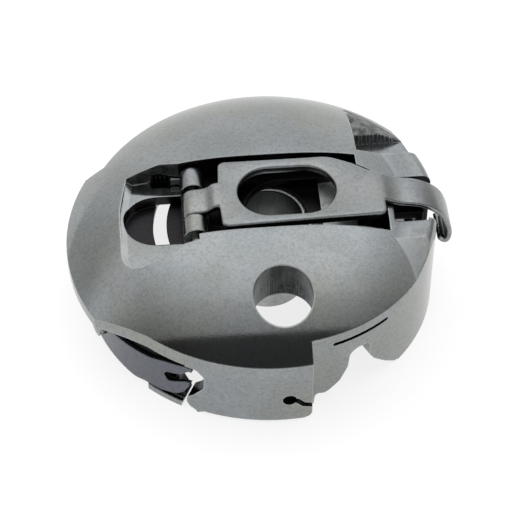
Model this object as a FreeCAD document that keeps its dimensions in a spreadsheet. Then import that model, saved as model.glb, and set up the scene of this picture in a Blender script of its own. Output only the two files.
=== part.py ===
"""Bobbin case of a sewing machine hook, as separate pieces in one frame.

Millimetres. The origin is on the axis of the centre tube, in the plane of the open rim that faces down.
+Z runs through the tube to the domed face, and +X runs along the latch from its hinge to its finger.
"""

import FreeCAD, Part
import math
import os
import Sketcher

doc = FreeCAD.newDocument("bobbin_case")
sheet = doc.addObject("Spreadsheet::Sheet", "dim")

DIMENSIONS = {
    # case shell, measured from the axis and from the rim plane
    "face_top": 11.3,
    "face_flat_radius": 4.0,
    "dome_radius": 18.5,
    "flange_radius": 15.8,
    "lobe_radius": 17.2,
    "lobe_under": 4.8,
    "flange_under": 5.7,
    "cup_outer": 14.3,
    "cup_inner": 13.2,
    "seat_outer": 15.3,
    "seat_inner": 14.2,
    "shoulder_level": 6.7,
    "shoulder_radius": 9.75,
    "ceiling_level": 7.35,
    "step_offset": 2.4,
    "front_rim": 0.35,
    "boss_level": 9.8,
    "groove_level": 7.5,
    "land_level": 8.65,
    "locating_offset": 10.54,
    "locating_radius": 2.455,
    # latch channel in the face
    "channel_half": 4.2,
    "channel_floor": 8.3,
    "rail_half": 4.7,
    "rail_top": 9.15,
    "pocket_left": 12.45,
    "pit_half": 2.75,
    "pit_floor": 7.2,
    "relief_floor": 7.6,
    # centre tube
    "tube_bore": 2.87,
    "tube_outer": 3.3,
    "tube_top": 8.28,
    "collar_radius": 4.2,
    # latch slide, lever and hinge
    "slide_bottom": 8.35,
    "slide_thick": 0.7,
    "slide_half": 3.95,
    "tongue_half": 1.5,
    "stud_radius": 3.2,
    "hinge_offset": 6.2,
    "hinge_level": 9.45,
    "eye_radius": 1.08,
    "pin_radius": 0.45,
    "lever_top": 11.2,
    "lever_thick": 0.8,
    "lever_half": 3.73,
    "window_centre": 1.61,
    "window_reach": 1.43,
    "window_radius": 2.71,
    "finger_half": 1.5,
    # latch spring
    "coil_radius": 0.5,
    "wire_radius": 0.1,
    "coil_side": 5.25,
    "coil_level": 8.3,
    "coil_length": 3.3,
    # thread tension parts, on the wall
    "leaf_inner": 15.36,
    "leaf_thick": 0.34,
    "screw_radius": 0.5,
    "screw_hole": 0.54,
    "head_radius": 0.9,
    "head_thick": 0.5,
    "small_head_radius": 0.66,
    "seat_rim": 0.6,
    # anti-spin spring under the face
    "brake_reach": 8.6,
    "brake_thick": 0.15,
}
for row, (alias, amount) in enumerate(DIMENSIONS.items(), start=1):
    sheet.set(f"A{row}", alias)
    sheet.set(f"B{row}", str(amount))
    sheet.setAlias(f"B{row}", alias)
doc.recompute()

ABOVE = 8.0  # reach of a cut that runs out through the face
LEAF_ANGLES = (-169.0, -118.0)
TENSION_ANGLE = -158.5
FIXING_ANGLE = -165.5
SCREW_LEVEL = 2.1
EYE_ANGLE = -125.0  # thread eye in the free end of the leaf


def amount(expression):
    """The number an expression stands for."""
    if isinstance(expression, str):
        return float(sheet.evalExpression(expression))
    return float(expression)


def polar(radius, angle):
    """Point at a radius, given as an expression, and an angle in degrees about the axis."""
    turn = math.radians(angle)
    return (f"({radius}) * {math.cos(turn):.9f}", f"({radius}) * {math.sin(turn):.9f}")


def new_body(label):
    body = doc.addObject("PartDesign::Body", label)
    body.Label = label
    return body


def new_sketch(body, name, plane="XY_Plane", level=None, offset=None):
    """Sketch on an origin plane of its body, raised to a level or placed by an offset."""
    sketch = body.newObject("Sketcher::SketchObject", name)
    support = next(f for f in body.Origin.OriginFeatures if f.Role == plane)
    sketch.AttachmentSupport = [(support, "")]
    sketch.MapMode = "FlatFace"
    if offset is not None:
        sketch.AttachmentOffset = offset
    if level is not None:
        sketch.setExpression(".AttachmentOffset.Base.z", str(level))
    return sketch


def radial(angle, radius):
    """Offset that turns an XZ sketch to face outwards at an angle, at a radius from the axis."""
    turn = FreeCAD.Rotation(FreeCAD.Vector(0, 1, 0), angle + 90.0)
    return FreeCAD.Placement(turn.multVec(FreeCAD.Vector(0, 0, radius)), turn)


def bind(sketch, kind, *args):
    """Add a constraint whose last argument is its size, and tie it to the sheet."""
    *places, size = args
    index = sketch.addConstraint(Sketcher.Constraint(kind, *places, amount(size)))
    if isinstance(size, str):
        sketch.setExpression(f"Constraints[{index}]", size)


def pin_point(sketch, geometry, end, point, axes="XY"):
    for axis, size in zip("XY", point):
        if axis in axes:
            bind(sketch, f"Distance{axis}", -1, 1, geometry, end, size)


def circle(sketch, centre, radius):
    middle = FreeCAD.Vector(amount(centre[0]), amount(centre[1]), 0)
    shape = Part.Circle(middle, FreeCAD.Vector(0, 0, 1), amount(radius))
    geometry = sketch.addGeometry(shape)
    pin_point(sketch, geometry, 3, centre)
    bind(sketch, "Radius", geometry, radius)


def line(*end):
    return {"end": end, "centre": None}


def arc(centre, radius, end, clockwise=False):
    return {"end": end, "centre": centre, "radius": radius, "clockwise": clockwise}


def outline(sketch, *steps):
    """Closed loop of lines and arcs, each step given by where it ends. It starts where the last ends."""
    ends = [tuple(amount(value) for value in step["end"]) for step in steps]
    placed = []
    for index, step in enumerate(steps):
        start, end = ends[index - 1], ends[index]
        if step["centre"] is None:
            shape = Part.LineSegment(FreeCAD.Vector(*start, 0), FreeCAD.Vector(*end, 0))
            first, last = 1, 2
        else:
            middle = tuple(amount(value) for value in step["centre"])
            one, two = (end, start) if step["clockwise"] else (start, end)
            sweep = [math.atan2(p[1] - middle[1], p[0] - middle[0]) for p in (one, two)]
            ring = Part.Circle(FreeCAD.Vector(*middle, 0), FreeCAD.Vector(0, 0, 1), amount(step["radius"]))
            shape = Part.ArcOfCircle(ring, *sweep)
            first, last = (2, 1) if step["clockwise"] else (1, 2)
        placed.append((sketch.addGeometry(shape), first, last))
    for index, step in enumerate(steps):
        geometry, first, last = placed[index]
        following, next_first, _ = placed[(index + 1) % len(steps)]
        sketch.addConstraint(Sketcher.Constraint("Coincident", geometry, last, following, next_first))
        next_is_arc = steps[(index + 1) % len(steps)]["centre"] is not None
        if step["centre"] is None:
            if not next_is_arc:
                pin_point(sketch, geometry, last, step["end"])
            continue
        pin_point(sketch, geometry, 3, step["centre"])
        bind(sketch, "Radius", geometry, step["radius"])
        middle = tuple(amount(value) for value in step["centre"])
        previous_is_arc = steps[index - 1]["centre"] is not None
        borders = [(first, index - 1, previous_is_arc), (last, index, next_is_arc)]
        for corner, which, shared in borders:
            if shared:
                continue
            steep = abs(ends[which][0] - middle[0]) < abs(ends[which][1] - middle[1])
            pin_point(sketch, geometry, corner, steps[which]["end"], "X" if steep else "Y")


def box_outline(sketch, left, right, low, high):
    outline(sketch, line(right, low), line(right, high), line(left, high), line(left, low))


def soft_outline(sketch, radius, *corners):
    """Closed loop round corners, each rounded to a radius or as far as its sides allow."""
    steps = []
    for index, corner in enumerate(corners):
        here = FreeCAD.Vector(*corner, 0)
        back = FreeCAD.Vector(*corners[index - 1], 0) - here
        ahead = FreeCAD.Vector(*corners[(index + 1) % len(corners)], 0) - here
        half_turn = (math.pi - back.getAngle(ahead)) / 2
        reach = min(radius * math.tan(half_turn), 0.45 * back.Length, 0.45 * ahead.Length)
        size = reach / math.tan(half_turn)
        clockwise = back.cross(ahead).z > 0
        back.normalize()
        ahead.normalize()
        start, end = here + back * reach, here + ahead * reach
        middle = here + (back + ahead).normalize() * (size / math.cos(half_turn))
        steps.append(line(start.x, start.y))
        steps.append(arc((middle.x, middle.y), size, (end.x, end.y), clockwise))
    outline(sketch, *steps)


def slot_outline(sketch, left, right, middle, half):
    """Slot along the sketch's first axis, whose end centres are at left and right."""
    low, high = f"{middle} - ({half})", f"{middle} + ({half})"
    outline(
        sketch,
        line(right, low),
        arc((right, middle), half, (right, high)),
        line(left, high),
        arc((left, middle), half, (left, low)),
    )


def feature(body, kind, name, sketch, length, reverse=False, both_ways=False):
    """Pad or pocket of a sketch. A pocket cuts against the sketch's normal unless reversed."""
    made = body.newObject(f"PartDesign::{kind}", name)
    made.Profile = sketch
    made.Midplane = both_ways
    made.Reversed = reverse
    if isinstance(length, str):
        made.setExpression("Length", length)
    else:
        made.Length = length
    sketch.Visibility = False
    doc.recompute()
    return made


def turned(body, name, sketch, kind="Revolution"):
    """Full turn of an XZ sketch about the axis of the case."""
    made = body.newObject(f"PartDesign::{kind}", name)
    made.Profile = sketch
    made.ReferenceAxis = (sketch, ["V_Axis"])
    made.Angle = 360.0
    doc.recompute()
    return made


def cut_up(body, name, level, draw, length=ABOVE):
    """Pocket whose floor is at a level and that runs upwards from it."""
    sketch = new_sketch(body, f"{name}_plan", level=level)
    draw(sketch)
    return feature(body, "Pocket", name, sketch, length, reverse=True)


def cut_in(body, name, angle, radius, depth, draw):
    """Pocket through a wall, drawn on a plane that faces outwards at an angle."""
    sketch = new_sketch(body, f"{name}_view", "XZ_Plane", offset=radial(angle, radius))
    draw(sketch)
    return feature(body, "Pocket", name, sketch, depth)


def eased(body, name, kind, size, chosen):
    """Fillet or chamfer along the edges that a test picks."""
    base = body.Tip
    made = body.newObject(f"PartDesign::{kind}", name)
    made.Base = (base, [f"Edge{number}" for number, edge in enumerate(base.Shape.Edges, 1) if chosen(edge)])
    setattr(made, "Radius" if kind == "Fillet" else "Size", size)
    doc.recompute()
    return made


def rounded(body, name, radius, chosen):
    return eased(body, name, "Fillet", radius, chosen)


# --- case body -------------------------------------------------------------------------------------------
case = new_body("case_body")
AXIS = (0, 0)

# Flat boss that carries the finger end of the latch. Its near side slopes down into the dome.
boss = new_sketch(case, "boss_plan", level="dim.ceiling_level + 0.2")
boss_right = [f"sqrt(dim.cup_outer ^ 2 - {side} ^ 2)" for side in (9.0, 4.9)]
outline(
    boss,
    line(boss_right[0], -9.0),
    arc(AXIS, "dim.cup_outer", (boss_right[1], 4.9)),
    line(8.3, 4.9),
    line(8.3, -9.0),
)
feature(case, "Pad", "boss", boss, "dim.boss_level - dim.ceiling_level - 0.2")
tilt = FreeCAD.Rotation(FreeCAD.Vector(1, 0, 0), 25.0)
blend = new_sketch(case, "blend_plan", offset=FreeCAD.Placement(FreeCAD.Vector(8.0, -4.9, 9.8), tilt))
box_outline(blend, 0, 9.0, -8.0, 0)
feature(case, "Pocket", "boss_blend", blend, 4.0, reverse=True)

# Dome, flange and stepped ceiling, as one turned disc.
profile = new_sketch(case, "dome_profile", "XZ_Plane")
dome_centre = ("dim.face_flat_radius", "dim.face_top - dim.dome_radius")
lobe_run = amount("dim.lobe_radius - dim.face_flat_radius")
lobe_edge = amount("dim.face_top - dim.dome_radius") + math.sqrt(amount("dim.dome_radius") ** 2 - lobe_run**2)
outline(
    profile,
    line(0, "dim.face_top"),
    line(0, "dim.ceiling_level"),
    line("dim.shoulder_radius", "dim.ceiling_level"),
    line("dim.shoulder_radius", "dim.shoulder_level"),
    line("dim.cup_inner", "dim.shoulder_level"),
    line("dim.cup_inner", "dim.flange_under"),
    line("dim.flange_radius", "dim.flange_under"),
    line("dim.lobe_radius", "dim.lobe_under"),
    line("dim.lobe_radius", lobe_edge),
    arc(dome_centre, "dim.dome_radius", ("dim.face_flat_radius", "dim.face_top")),
)
turned(case, "dome", profile)

# Outline of the face: cup wall at the front right, flange round the back, lobe on the hinge side.
cup_at_step = math.degrees(math.asin(-math.sqrt(1.0 - (amount("dim.step_offset / dim.cup_outer")) ** 2)))
flange_at_step = -math.degrees(math.acos(amount("dim.step_offset / dim.flange_radius")))


def face_outline(sketch):
    circle(sketch, AXIS, 22.0)
    outline(
        sketch,
        line(*polar("dim.cup_outer", cup_at_step)),
        arc(AXIS, "dim.cup_outer", polar("dim.cup_outer", 14.0)),
        line(*polar("dim.cup_outer + 0.45", 24.5)),
        line(*polar("dim.flange_radius", 41.2)),
        arc(AXIS, "dim.flange_radius", polar("dim.flange_radius", 150.0)),
        line(*polar("dim.lobe_radius", 153.5)),
        arc(AXIS, "dim.lobe_radius", polar("dim.lobe_radius", 209.0)),
        line(*polar("dim.flange_radius", 227.0)),
        arc(AXIS, "dim.flange_radius", polar("dim.flange_radius", flange_at_step)),
    )


cut_up(case, "face_trim", "0", face_outline, 14.0)
rounded(case, "boss_edge", 0.85, lambda e: e.CenterOfMass.z > 9.75 and 13.5 < e.CenterOfMass.x < 14.35)


# Walls as a solid plug under the flange, then the cup for the bobbin out of it.
walls = new_sketch(case, "wall_plan")
outline(
    walls,
    line(*polar("dim.cup_outer", cup_at_step)),
    arc(AXIS, "dim.cup_outer", polar("dim.cup_outer", 190.0)),
    line(*polar("dim.seat_outer", 190.0)),
    arc(AXIS, "dim.seat_outer", polar("dim.seat_outer", 240.0)),
    line(*polar("dim.flange_radius", 240.0)),
    arc(AXIS, "dim.flange_radius", polar("dim.flange_radius", flange_at_step)),
)
feature(case, "Pad", "walls", walls, "dim.shoulder_level - 0.2")

# Rim below the seat of the tension spring, flush with the front wall.
seat_rim = new_sketch(case, "seat_rim_plan")
rim_outer = "dim.flange_radius - 0.05"
outline(
    seat_rim,
    line(*polar(rim_outer, 226.0)),
    arc(AXIS, rim_outer, polar(rim_outer, 240.5)),
    line(*polar(14.6, 240.5)),
    arc(AXIS, 14.6, polar(14.6, 222.0), clockwise=True),
)
feature(case, "Pad", "seat_rim", seat_rim, "dim.seat_rim")


def cup_plan(sketch):
    outline(
        sketch,
        line(*polar("dim.cup_inner", 276.0)),
        arc(AXIS, "dim.cup_inner", polar("dim.cup_inner", 194.0)),
        line(*polar("dim.seat_inner", 194.0)),
        arc(AXIS, "dim.seat_inner", polar("dim.seat_inner", 276.0)),
    )


cut_up(case, "cup", "0", cup_plan, "dim.shoulder_level")

# Finger window at the far end: a notch in the bar left of it, and an open slot down the cup wall.
cut_up(case, "tongue_way", "dim.channel_floor", lambda s: box_outline(s, 9.7, 10.5, -1.62, 1.62))
cut_up(case, "finger_window", "dim.ceiling_level - 2", lambda s: box_outline(s, 10.4, 13.3, -3.1, 2.0))
cut_up(case, "finger_slot", 2.7, lambda s: box_outline(s, 12.9, 15.0, -2.8, 2.0), 10.0)

# Channel, hinge pocket, side rails, and the pit in the pocket floor.
def channel_plan(sketch):
    half = "dim.channel_half"
    outline(
        sketch,
        line(9.9, f"-{half}"),
        line(9.9, 1.9),
        line(7.8, 2.9),
        line(7.8, half),
        line(-7.6, half),
        line(-7.6, f"-{half}"),
    )


def pocket_plan(sketch):
    left, corner = "-dim.pocket_left", "1.85 - dim.pocket_left"
    outline(
        sketch,
        line(-6.0, -4.75),
        line(-6.0, "dim.channel_half"),
        line(-7.3, "dim.channel_half"),
        line(-9.0, 4.7),
        line(-11.8, 4.25),
        line(left, 0.5),
        line(left, -4.15),
        arc((corner, -4.15), 1.85, (corner, -6.0)),
        line(-9.2, -5.75),
        line(-7.3, -4.95),
    )


def pit_plan(sketch):
    half = "dim.pit_half"
    outline(
        sketch,
        line(-5.4, f"-{half}"),
        line(-5.4, half),
        line(-9.45, half),
        arc((-9.45, 0), half, (-9.45, f"-{half}")),
    )


cut_up(case, "channel", "dim.channel_floor", channel_plan)
cut_up(case, "hinge_pocket", "dim.channel_floor", pocket_plan)


def pocket_floor_edge(edge):
    middle = edge.CenterOfMass
    return abs(middle.z - amount("dim.channel_floor")) < 0.01 and middle.x < -11.2 and middle.y < 3.5


eased(case, "pocket_ramp", "Chamfer", 0.5, pocket_floor_edge)
cut_up(
    case,
    "rails",
    "dim.channel_floor",
    lambda s: box_outline(s, -7.6, 6.6, "-dim.rail_half", "dim.rail_half"),
    "dim.rail_top - dim.channel_floor",
)
cut_up(case, "pit", "dim.pit_floor", pit_plan)

# Relief for the slide's lug on the far side of the pocket, and the blind bore of the latch spring.
cut_up(
    case,
    "lug_relief",
    "dim.relief_floor",
    lambda s: box_outline(s, -9.7, -7.0, 3.9, 5.95),
    "dim.rail_top - dim.relief_floor",
)
bore = new_sketch(
    case,
    "spring_bore_view",
    "YZ_Plane",
    offset=FreeCAD.Placement(FreeCAD.Vector(0, 0, -9.5), FreeCAD.Rotation()),
)
circle(bore, ("dim.coil_side", "dim.coil_level"), "dim.coil_radius + dim.wire_radius + 0.06")
feature(case, "Pocket", "spring_bore", bore, 2.0)

# Bores through the face: centre tube seat and locating hole.
cut_up(case, "tube_seat", "dim.ceiling_level - 1", lambda s: circle(s, AXIS, "dim.tube_outer + 0.01"))
cut_up(
    case,
    "locating_hole",
    "dim.shoulder_level - 1",
    lambda s: circle(s, (0.38, "-dim.locating_offset"), "dim.locating_radius"),
)
cut_up(
    case,
    "locating_relief",
    "dim.shoulder_level - 0.1",
    lambda s: circle(s, (0.38, "-dim.locating_offset"), "dim.locating_radius + 0.28"),
    "dim.ceiling_level - dim.shoulder_level + 0.1",
)

# Milled recess on the far side of the finger: a deep groove and a flat land behind it.
cut_up(case, "groove", "dim.groove_level", lambda s: box_outline(s, 8.05, 17.0, 4.9, 8.5))
cut_up(case, "land", "dim.land_level", lambda s: box_outline(s, 8.05, 17.0, 8.4, 17.0))


# Cuts through the walls. Each view is drawn with its first axis along the wall and its second axis up.
def gate_view(sketch):
    """Gap in the cup wall between the pointed tooth beside the step and the long skirt."""
    soft_outline(
        sketch,
        0.9,
        (4.6, -1.0),
        (4.6, 0.0),
        (3.9, 0.35),
        (2.7, 1.45),
        (1.35, 2.9),
        (0.82, 3.8),
        (0.82, 5.2),
        (0.5, 5.5),
        (-0.5, 5.55),
        (-1.15, 5.1),
        (-1.3, 3.6),
        (-2.0, 2.15),
        (-2.85, 1.4),
        (-3.3, 1.1),
        (-4.1, 1.3),
        (-4.35, -1.0),
    )


def slit_view(sketch):
    """Narrow thread slit from the thread hole to the end of the front wall."""
    soft_outline(
        sketch,
        0.3,
        (0.2, 2.6),
        (0.55, 2.5),
        (1.05, 1.93),
        (2.02, 1.63),
        (2.02, 2.08),
        (1.25, 2.4),
        (0.8, 2.95),
        (0.4, 3.1),
    )


def wall_corner_view(sketch):
    """What comes off the lower end of the front wall beside the step."""
    soft_outline(
        sketch,
        0.4,
        (1.2, -1.0),
        (1.2, 0.36),
        (1.7, 0.5),
        (1.96, 1.0),
        (2.6, 1.2),
        (2.6, -1.0),
    )


def window_view(sketch):
    """Window under the free end of the tension spring, with the gap that lets the thread in from the rim."""
    soft_outline(
        sketch,
        0.6,
        (0.35, -1.0),
        (0.35, 0.2),
        (-0.3, 0.5),
        (-0.6, 0.95),
        (-0.6, 1.6),
        (0.05, 2.2),
        (0.95, 3.4),
        (1.02, 4.8),
        (0.3, 5.55),
        (-1.52, 5.55),
        (-1.52, 2.4),
        (-0.76, 1.2),
        (-1.1, 0.45),
        (-1.3, -1.0),
    )


cut_in(case, "gate", -62.0, 17.0, 4.8, gate_view)
cut_in(case, "crescent_slot", -62.3, 17.0, 3.9, lambda s: slot_outline(s, -2.5, 2.55, 7.08, 0.18))
cut_in(case, "thread_hole", -88.2, 18.0, 4.5, lambda s: circle(s, (0, 2.9), 0.58))
cut_in(case, "thread_slit", -88.2, 18.0, 3.95, slit_view)
cut_in(case, "wall_corner", -88.2, 18.0, 3.75, wall_corner_view)
cut_in(case, "thread_window", -117.6, 18.0, 4.6, window_view)
cut_in(case, "eye_hole", EYE_ANGLE - 1.0, 18.0, 4.6, lambda s: circle(s, (0, 3.2), 0.5))
for name, angle in (("tension", TENSION_ANGLE), ("fixing", FIXING_ANGLE)):
    cut_in(case, f"{name}_bore", angle, 18.0, 5.0, lambda s: circle(s, (0, SCREW_LEVEL), "dim.screw_hole"))
cut_up(case, "front_rim_cut", "-1", lambda s: box_outline(s, -8.2, 3.0, -16.5, -14.15), "dim.front_rim + 1")

# --- centre tube -----------------------------------------------------------------------------------------
tube = new_body("centre_tube")
section = new_sketch(tube, "tube_profile", "XZ_Plane")
collar_top = "dim.ceiling_level - dim.brake_thick - 0.06"
outline(
    section,
    line("dim.tube_bore", "dim.tube_top"),
    line("dim.tube_bore", 0),
    line("dim.tube_outer", 0),
    line("dim.tube_outer", 6.55),
    line("dim.collar_radius", 6.55),
    line("dim.collar_radius", collar_top),
    line("dim.tube_outer", collar_top),
    line("dim.tube_outer", "dim.tube_top"),
)
turned(tube, "tube", section)

# --- anti-spin spring ------------------------------------------------------------------------------------
brake = new_body("brake_spring")
plan = new_sketch(brake, "brake_plan", level="dim.ceiling_level - dim.brake_thick - 0.03")
reach_side = amount("sqrt(dim.brake_reach ^ 2 - 3.6 ^ 2)")
outline(
    plan,
    line(reach_side, -3.6),
    arc(AXIS, "dim.brake_reach", (reach_side, 3.6)),
    line(4.2, 2.4),
    line(2.4, 4.6),
    line(-2.4, 4.6),
    line(-4.2, 2.4),
    line(-reach_side, 3.6),
    arc(AXIS, "dim.brake_reach", (-reach_side, -3.6)),
    line(-4.2, -2.4),
    line(-2.4, -4.6),
    line(2.4, -4.6),
    line(4.2, -2.4),
)
circle(plan, AXIS, "dim.tube_outer + 0.02")
feature(brake, "Pad", "brake", plan, "dim.brake_thick")

# --- latch slide -----------------------------------------------------------------------------------------
slide = new_body("latch_slide")
plan = new_sketch(slide, "sheet_plan", level="dim.slide_bottom")
half, rail = "dim.slide_half", "dim.rail_half - 0.06"
outline(
    plan,
    line(5.9, f"-({rail})"),
    line(5.9, f"-{half}"),
    line(8.2, -2.6),
    line(9.2, "-dim.tongue_half"),
    line(13.1, "-dim.tongue_half"),
    line(13.1, "dim.tongue_half"),
    line(9.2, "dim.tongue_half"),
    line(7.3, 2.6),
    line(5.9, half),
    line(5.9, rail),
    line(-7.1, rail),
    line(-7.1, 5.85),
    line(-8.0, 5.85),
    line(-8.0, 4.05),
    line("-dim.hinge_offset - 0.2", 4.05),
    line("-dim.hinge_offset - 0.2", 1.85),
    line(-4.95, 1.85),
    line(-4.95, -1.5),
    line("-dim.hinge_offset - 0.2", -1.5),
    line("-dim.hinge_offset - 0.2", f"-{half}"),
    line(-4.8, f"-{half}"),
    line(-4.8, f"-({rail})"),
)
feature(slide, "Pad", "sheet", plan, "dim.slide_thick")

nose = new_sketch(slide, "nose_view", "XZ_Plane")
outline(
    nose,
    line(12.4, 8.6),
    line(12.4, 5.9),
    line(11.9, 5.9),
    line(11.9, 5.35),
    line(13.1, 5.35),
    line(13.1, 8.6),
)
feature(slide, "Pad", "nose", nose, "2 * dim.tongue_half", both_ways=True)

eyes = new_sketch(slide, "eye_view", "XZ_Plane")
circle(eyes, ("-dim.hinge_offset", "dim.hinge_level"), "dim.eye_radius")
feature(slide, "Pad", "eyes", eyes, "2 * dim.slide_half", both_ways=True)
cut_up(slide, "eye_gap", 7.9, lambda s: box_outline(s, -7.6, -4.95, -1.5, 1.85), 4.0)
slide_top = "dim.slide_bottom + dim.slide_thick"
cut_up(slide, "eye_end", slide_top, lambda s: box_outline(s, -7.6, -4.95, -4.1, -3.35), 4.0)
bore = new_sketch(slide, "pin_bore_view", "XZ_Plane")
circle(bore, ("-dim.hinge_offset", "dim.hinge_level"), "dim.pin_radius")
feature(slide, "Pocket", "pin_bore", bore, 12.0, both_ways=True)


def stud_plan(sketch):
    """Hole for the hook's stud: round where it catches, square where the stud enters."""
    far = "dim.stud_radius"
    outline(
        sketch,
        line(4.5, f"-{far}"),
        line(4.5, far),
        line(1.3, far),
        arc((1.3, 0), far, (1.3, f"-{far}")),
    )


cut_up(slide, "stud_hole", "dim.slide_bottom - 1", stud_plan, 4.0)

# --- hinge pin -------------------------------------------------------------------------------------------
pin = new_body("hinge_pin")
view = new_sketch(pin, "pin_view", "XZ_Plane")
circle(view, ("-dim.hinge_offset", "dim.hinge_level"), "dim.pin_radius")
feature(pin, "Pad", "pin", view, "2 * dim.slide_half - 0.1", both_ways=True)

# --- latch lever -----------------------------------------------------------------------------------------
lever = new_body("latch_lever")
view = new_sketch(lever, "plate_view", "XZ_Plane")
under = "dim.lever_top - dim.lever_thick"
box_outline(view, -4.0, 9.75, under, "dim.lever_top")
feature(lever, "Pad", "plate", view, "2 * dim.lever_half", both_ways=True)


def corner_plan(sketch):
    """What comes off the far corner of the plate."""
    outline(
        sketch,
        line(9.9, 1.5),
        line(9.9, 4.2),
        line(5.4, 4.2),
        line(5.4, 3.75),
        line(7.4, 2.7),
        line(8.6, 1.85),
        line(9.3, 1.5),
    )


cut_up(lever, "far_corner", "dim.lever_top - 2", corner_plan, 4.0)
cut_up(
    lever,
    "near_corner",
    "dim.lever_top - 2",
    lambda s: outline(
        s,
        line(-3.4, -4.2),
        line(10.0, -4.2),
        line(10.0, -2.3),
        line(9.3, -3.2),
        line(-3.4, "-dim.lever_half"),
    ),
    4.0,
)
view = new_sketch(lever, "finger_view", "XZ_Plane")
outline(
    view,
    line(8.0, "dim.lever_top"),
    line(8.0, under),
    line(9.5, under),
    line(10.4, 9.85),
    line(11.9, 9.72),
    line(13.1, 9.2),
    line(14.15, 8.45),
    line(14.75, 7.6),
    line(15.08, 6.6),
    line(15.05, 6.0),
    line(14.8, 5.75),
    line(14.5, 5.6),
    line(14.75, 5.2),
    line(15.2, 5.15),
    line(15.52, 5.55),
    line(15.64, 6.4),
    line(15.4, 7.35),
    line(15.04, 8.1),
    line(14.57, 8.76),
    line(13.9, 9.33),
    line(12.6, 9.98),
    line(11.9, 10.2),
    line(10.5, 10.36),
    line(9.75, "dim.lever_top"),
)
feature(lever, "Pad", "finger", view, "2 * dim.finger_half", both_ways=True)

view = new_sketch(lever, "neck_view", "XZ_Plane")
outline(
    view,
    line(-3.6, "dim.lever_top"),
    line(-4.5, "dim.lever_top"),
    line("-dim.hinge_offset", "dim.hinge_level + dim.eye_radius - 0.02"),
    line(-5.7, 9.9),
    line(-4.6, under),
    line(-3.6, under),
)
feature(lever, "Pad", "neck", view, 2.72, both_ways=True)
view = new_sketch(lever, "barrel_view", "XZ_Plane")
circle(view, ("-dim.hinge_offset", "dim.hinge_level"), "dim.eye_radius - 0.02")
feature(lever, "Pad", "barrel", view, 2.72, both_ways=True)
view = new_sketch(lever, "barrel_bore_view", "XZ_Plane")
circle(view, ("-dim.hinge_offset", "dim.hinge_level"), "dim.pin_radius + 0.03")
feature(lever, "Pocket", "barrel_bore", view, 6.0, both_ways=True)


def plate_corner(edge):
    middle = edge.CenterOfMass
    return abs(middle.x + 4.0) < 0.01 and abs(middle.y) > 3.6 and edge.BoundBox.ZLength > 0.5


rounded(lever, "plate_corners", 0.6, plate_corner)
window_ends = ("dim.window_centre - dim.window_reach", "dim.window_centre + dim.window_reach")
cut_up(
    lever,
    "window",
    "dim.lever_top - 2",
    lambda s: slot_outline(s, *window_ends, 0, "dim.window_radius"),
    4.0,
)

# --- latch spring ----------------------------------------------------------------------------------------
helix = doc.addObject("Part::Helix", "coil_path")
helix.setExpression("Pitch", "dim.coil_length / 9")
helix.setExpression("Height", "dim.coil_length - 2 * dim.wire_radius")
helix.setExpression("Radius", "dim.coil_radius")
helix.Visibility = False
wire = doc.addObject("Part::Circle", "coil_wire")
wire.setExpression("Radius", "dim.wire_radius")
wire.Placement.Rotation = FreeCAD.Rotation(FreeCAD.Vector(1, 0, 0), 90)
wire.setExpression(".Placement.Base.x", "dim.coil_radius")
coil = doc.addObject("Part::Sweep", "latch_spring")
coil.Label = "latch_spring"
coil.Sections = [wire]
coil.Spine = (helix, [])
coil.Solid = True
coil.Frenet = True
coil.Placement = FreeCAD.Placement(
    FreeCAD.Vector(
        -8.1 - amount("dim.coil_length") + amount("dim.wire_radius"),
        amount("dim.coil_side"),
        amount("dim.coil_level"),
    ),
    FreeCAD.Rotation(FreeCAD.Vector(0, 1, 0), 90),
)

# --- thread tension spring -------------------------------------------------------------------------------
leaf = new_body("tension_spring")
plan = new_sketch(leaf, "leaf_plan", level="0.25")
leaf_outer = "dim.leaf_inner + dim.leaf_thick"
outline(
    plan,
    line(*polar(leaf_outer, LEAF_ANGLES[0])),
    arc(AXIS, leaf_outer, polar(leaf_outer, LEAF_ANGLES[1])),
    line(*polar("dim.leaf_inner", LEAF_ANGLES[1])),
    arc(AXIS, "dim.leaf_inner", polar("dim.leaf_inner", LEAF_ANGLES[0]), clockwise=True),
)
feature(leaf, "Pad", "leaf", plan, "dim.flange_under - 0.55")
cut_in(
    leaf,
    "upper_edge",
    -150.0,
    18.0,
    6.0,
    lambda s: soft_outline(
        s,
        3.0,
        (9.0, 5.3),
        (9.0, 6.5),
        (-6.0, 6.5),
        (-6.0, 3.0),
        (0.2, 3.35),
        (4.6, 4.25),
        (6.1, 4.85),
        (7.8, 5.3),
    ),
)
cut_in(
    leaf,
    "lower_edge",
    -130.0,
    18.0,
    6.0,
    lambda s: soft_outline(
        s,
        1.5,
        (4.6, -0.5),
        (4.6, 3.6),
        (3.1, 3.6),
        (2.95, 2.9),
        (2.55, 2.05),
        (1.75, 1.32),
        (0.2, 0.84),
        (-1.5, 0.7),
        (-2.6, 0.3),
        (-4.2, 0.2),
        (-9.0, 0.2),
        (-9.0, -0.5),
    ),
)


def eye_view(sketch):
    """Thread eye, an opening that widens to the end of the leaf and makes a fork of it."""
    soft_outline(
        sketch,
        0.35,
        (1.3, 3.35),
        (2.6, 3.6),
        (2.6, 4.9),
        (1.6, 4.85),
        (0.9, 4.15),
        (0.3, 3.9),
        (-0.5, 3.65),
        (-0.8, 3.1),
        (-0.4, 2.5),
        (0.1, 2.7),
    )


cut_in(leaf, "eye", EYE_ANGLE, 18.0, 3.6, eye_view)
for name, angle in (("tension", TENSION_ANGLE), ("fixing", FIXING_ANGLE)):
    hole = "dim.screw_hole + 0.04"
    cut_in(leaf, f"{name}_clearance", angle, 18.0, 3.6, lambda s: circle(s, (0, SCREW_LEVEL), hole))


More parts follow.
